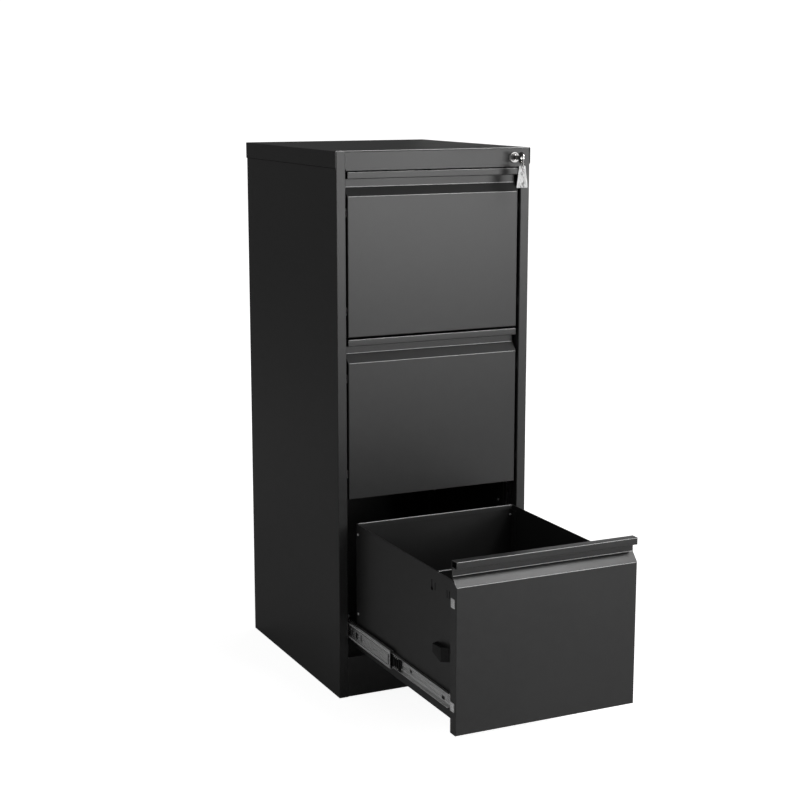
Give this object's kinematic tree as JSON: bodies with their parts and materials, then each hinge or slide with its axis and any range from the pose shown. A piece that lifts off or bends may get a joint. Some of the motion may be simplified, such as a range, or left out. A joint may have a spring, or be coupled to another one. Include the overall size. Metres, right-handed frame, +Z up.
{
  "type": "metal filing cabinet",
  "caption": "Upright steel filing cabinet with stacked drawers on ball-bearing slides, recessed finger grips, a keyed lock bar, and its bottom drawer standing open.",
  "frame": {"origin": "middle of the cabinet's footprint, on the underside of its base tray", "axes": "+Z up; the drawers open towards -Y; +X is to the right seen from the front"},
  "size_m": [0.4, 0.8935, 1.03],
  "materials": {
    "powder_coat": "satin black powder coat, fine texture",
    "drawer_paint": "satin black powder coat inside the drawers",
    "inner_paint": "satin black powder coat on the slide posts",
    "slide_zinc": "bright zinc-plated rolled steel",
    "fitting_zinc": "zinc-plated pressed steel",
    "lock_chrome": "polished nickel plate",
    "black_plastic": "moulded black nylon",
    "clear_sleeve": "milky clear plastic film, creased"
  },
  "bodies": {
    "cabinet": {"side_panel_left": "powder_coat", "side_panel_right": "powder_coat", "back_panel": "powder_coat", "top_cap": "powder_coat", "top_rail": "powder_coat", "base_tray": "powder_coat", "slide_post_front_left": "inner_paint", "slide_post_front_right": "inner_paint", "slide_post_rear_left": "inner_paint", "slide_post_rear_right": "inner_paint", "bottom_drawer_slide_outer_left": "slide_zinc", "bottom_drawer_slide_outer_right": "slide_zinc", "middle_drawer_slide_outer_left": "slide_zinc", "middle_drawer_slide_outer_right": "slide_zinc", "top_drawer_slide_outer_left": "slide_zinc", "top_drawer_slide_outer_right": "slide_zinc", "lock_housing": "lock_chrome", "lock_bar_guide_upper": "fitting_zinc", "lock_bar_guide_lower": "fitting_zinc"},
    "bottom_drawer": {"bottom_drawer_front": "powder_coat", "bottom_drawer_body": "drawer_paint", "bottom_drawer_back": "drawer_paint", "bottom_drawer_file_bar": "drawer_paint", "bottom_drawer_interlock_block": "black_plastic", "bottom_drawer_lock_catch": "fitting_zinc", "bottom_drawer_slide_inner_left": "slide_zinc", "bottom_drawer_slide_inner_right": "slide_zinc"},
    "bottom_drawer_slide_middle_left": {"bottom_drawer_slide_middle_left": "slide_zinc"},
    "bottom_drawer_slide_middle_right": {"bottom_drawer_slide_middle_right": "slide_zinc"},
    "middle_drawer": {"middle_drawer_front": "powder_coat", "middle_drawer_body": "drawer_paint", "middle_drawer_back": "drawer_paint", "middle_drawer_file_bar": "drawer_paint", "middle_drawer_interlock_block": "black_plastic", "middle_drawer_lock_catch": "fitting_zinc", "middle_drawer_slide_inner_left": "slide_zinc", "middle_drawer_slide_inner_right": "slide_zinc"},
    "middle_drawer_slide_middle_left": {"middle_drawer_slide_middle_left": "slide_zinc"},
    "middle_drawer_slide_middle_right": {"middle_drawer_slide_middle_right": "slide_zinc"},
    "top_drawer": {"top_drawer_front": "powder_coat", "top_drawer_body": "drawer_paint", "top_drawer_back": "drawer_paint", "top_drawer_file_bar": "drawer_paint", "top_drawer_interlock_block": "black_plastic", "top_drawer_lock_catch": "fitting_zinc", "top_drawer_slide_inner_left": "slide_zinc", "top_drawer_slide_inner_right": "slide_zinc"},
    "top_drawer_slide_middle_left": {"top_drawer_slide_middle_left": "slide_zinc"},
    "top_drawer_slide_middle_right": {"top_drawer_slide_middle_right": "slide_zinc"},
    "lock_cylinder": {"lock_core": "lock_chrome", "key": "lock_chrome"},
    "lock_bar": {"lock_bar": "fitting_zinc", "lock_bar_head": "fitting_zinc", "lock_bar_hook_bottom": "fitting_zinc", "lock_bar_hook_middle": "fitting_zinc", "lock_bar_hook_top": "fitting_zinc"},
    "key_ring": {"key_ring": "lock_chrome"},
    "spare_key": {"spare_key_sleeve": "clear_sleeve"}
  },
  "joints": [
    {"name": "bottom_drawer_travel", "type": "slide", "parent": "cabinet", "child": "bottom_drawer", "axis": [0, -1, 0], "range_m": [-0.436, 0]},
    {"name": "bottom_drawer_slide_middle_left_travel", "type": "slide", "parent": "cabinet", "child": "bottom_drawer_slide_middle_left", "axis": [0, -1, 0], "range_m": [-0.218, 0]},
    {"name": "bottom_drawer_slide_middle_right_travel", "type": "slide", "parent": "cabinet", "child": "bottom_drawer_slide_middle_right", "axis": [0, -1, 0], "range_m": [-0.218, 0]},
    {"name": "middle_drawer_travel", "type": "slide", "parent": "cabinet", "child": "middle_drawer", "axis": [0, -1, 0], "range_m": [0, 0.436]},
    {"name": "middle_drawer_slide_middle_left_travel", "type": "slide", "parent": "cabinet", "child": "middle_drawer_slide_middle_left", "axis": [0, -1, 0], "range_m": [0, 0.218]},
    {"name": "middle_drawer_slide_middle_right_travel", "type": "slide", "parent": "cabinet", "child": "middle_drawer_slide_middle_right", "axis": [0, -1, 0], "range_m": [0, 0.218]},
    {"name": "top_drawer_travel", "type": "slide", "parent": "cabinet", "child": "top_drawer", "axis": [0, -1, 0], "range_m": [0, 0.436], "deforming": ["spare_key_sleeve"]},
    {"name": "top_drawer_slide_middle_left_travel", "type": "slide", "parent": "cabinet", "child": "top_drawer_slide_middle_left", "axis": [0, -1, 0], "range_m": [0, 0.218]},
    {"name": "top_drawer_slide_middle_right_travel", "type": "slide", "parent": "cabinet", "child": "top_drawer_slide_middle_right", "axis": [0, -1, 0], "range_m": [0, 0.218]},
    {"name": "lock_turn", "type": "hinge", "parent": "cabinet", "child": "lock_cylinder", "pos_m": [0.165, -0.23, 1.012], "axis": [0, 1, 0], "range_deg": [0, 90]},
    {"name": "lock_bar_travel", "type": "slide", "parent": "cabinet", "child": "lock_bar", "axis": [0, 0, -1], "range_m": [0, 0.012]},
    {"name": "key_ring_swing", "type": "hinge", "parent": "lock_cylinder", "child": "key_ring", "pos_m": [0.165, -0.262, 1.012], "axis": [1, 0, 0], "range_deg": [-60, 15]},
    {"name": "spare_key_swing", "type": "hinge", "parent": "key_ring", "child": "spare_key", "pos_m": [0.165, -0.262, 0.9933], "axis": [0, 1, 0], "range_deg": [-90, 0]}
  ],
  "couplings": [
    {"joint": "bottom_drawer_slide_middle_left_travel", "follows": "bottom_drawer_travel", "ratio": 0.5},
    {"joint": "bottom_drawer_slide_middle_right_travel", "follows": "bottom_drawer_travel", "ratio": 0.5},
    {"joint": "middle_drawer_slide_middle_left_travel", "follows": "middle_drawer_travel", "ratio": 0.5},
    {"joint": "middle_drawer_slide_middle_right_travel", "follows": "middle_drawer_travel", "ratio": 0.5},
    {"joint": "top_drawer_slide_middle_left_travel", "follows": "top_drawer_travel", "ratio": 0.5},
    {"joint": "top_drawer_slide_middle_right_travel", "follows": "top_drawer_travel", "ratio": 0.5},
    {"joint": "lock_turn", "follows": "lock_bar_travel", "rad_per_m": 130.9},
    {"joint": "spare_key_swing", "follows": "lock_bar_travel", "rad_per_m": -130.9}
  ]
}
